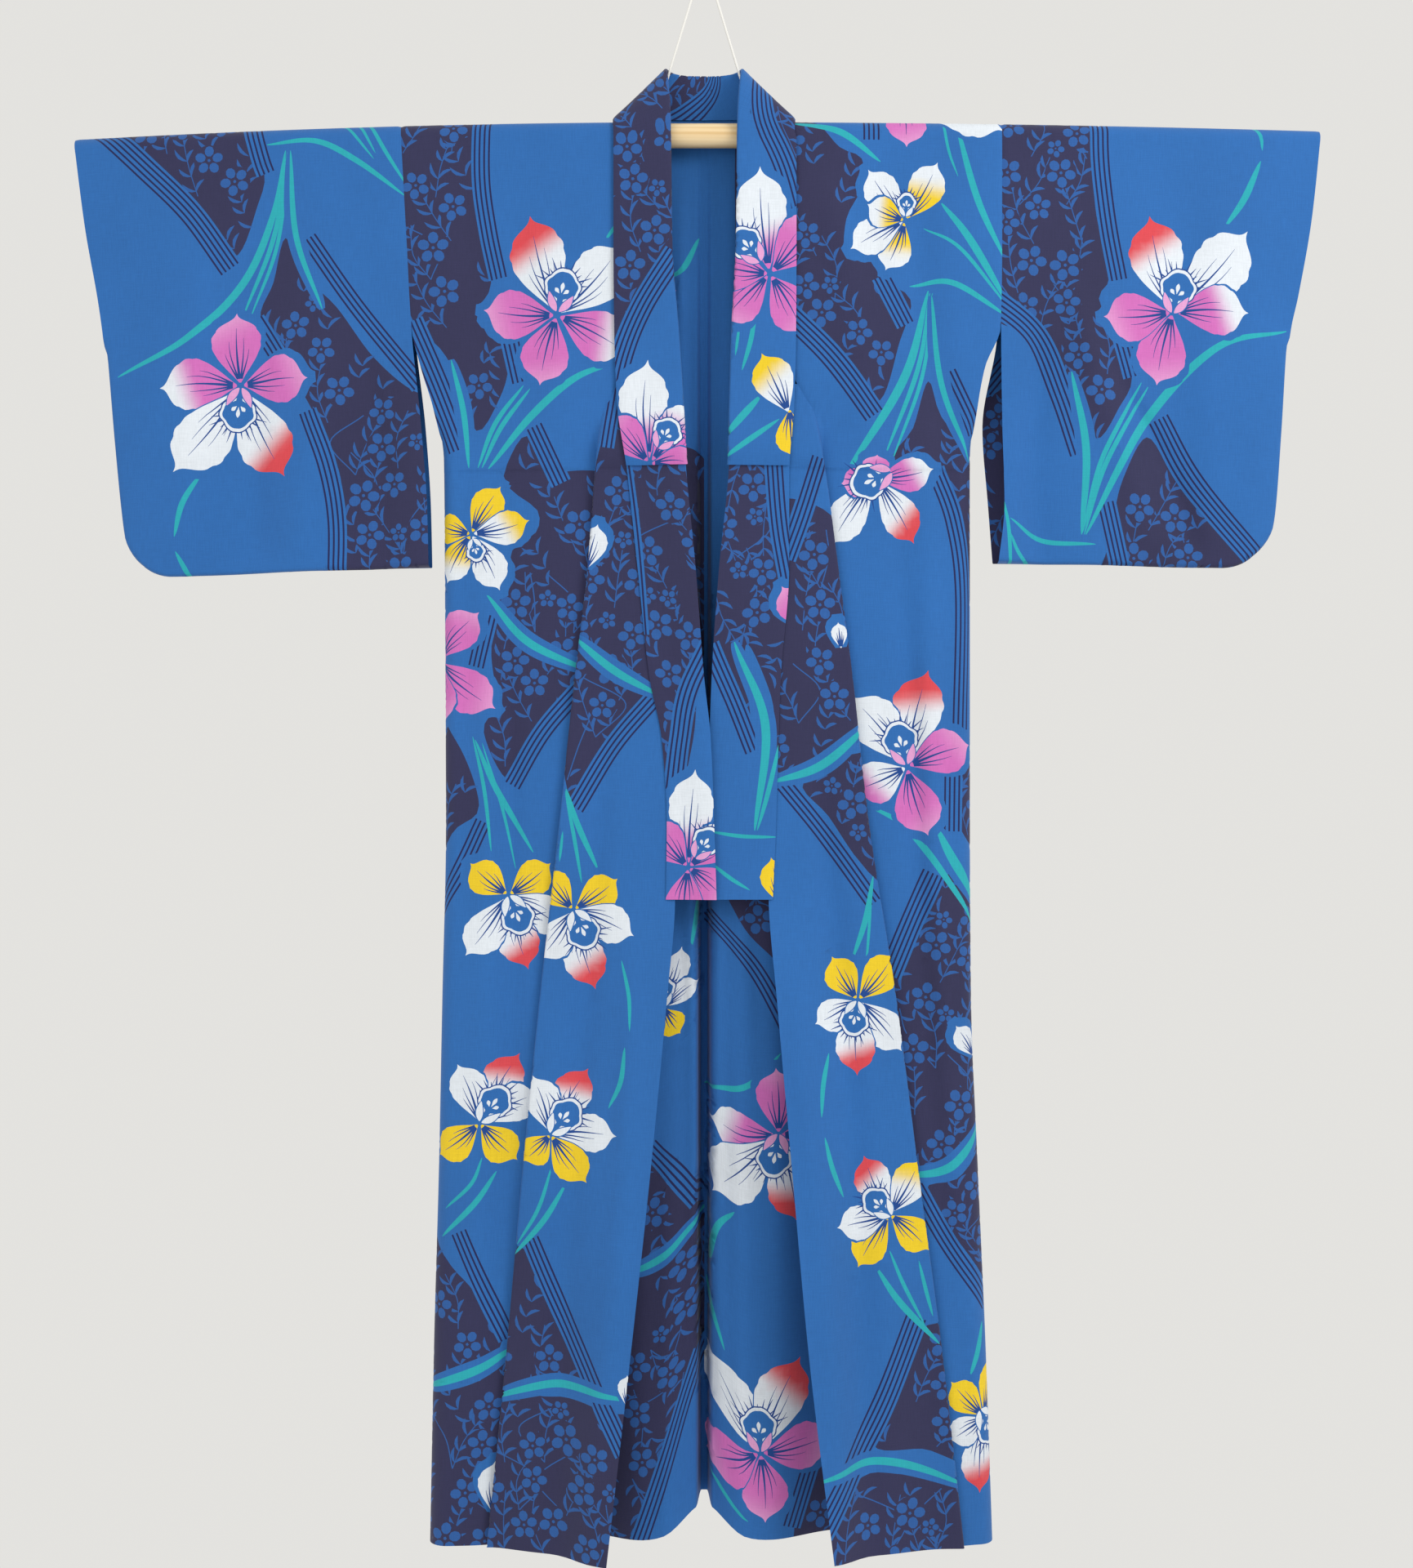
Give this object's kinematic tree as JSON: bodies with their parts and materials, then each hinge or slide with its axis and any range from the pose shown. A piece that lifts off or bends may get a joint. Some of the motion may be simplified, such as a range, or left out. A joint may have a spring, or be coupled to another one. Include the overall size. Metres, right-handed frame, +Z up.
{
  "type": "yukata robe on hanging rod",
  "caption": "Patterned cotton summer robe with wide sleeves and a long banded collar, hung open on a wooden rod from a thin cord.",
  "frame": {"origin": "top of the hanging cord's loop, where a hook would hold it", "axes": "+Z up, +X to the viewer's right along the rod, -Y out of the robe's open front towards the viewer"},
  "size_m": [1.3062, 0.1417, 1.654],
  "materials": {
    "blue_cotton": "matt printed cotton",
    "navy_cotton": "matt printed cotton",
    "pale_wood": "smooth, unvarnished",
    "white_cord": "twisted cotton"
  },
  "bodies": {
    "root": {"body_left": "blue_cotton", "body_right": "blue_cotton", "sleeve_left": "blue_cotton", "sleeve_right": "blue_cotton", "overlap_left": "navy_cotton", "overlap_right": "navy_cotton", "collar": "navy_cotton", "collar_cover": "navy_cotton", "hanger_rod": "pale_wood", "hanging_cord": "white_cord"}
  },
  "joints": []
}
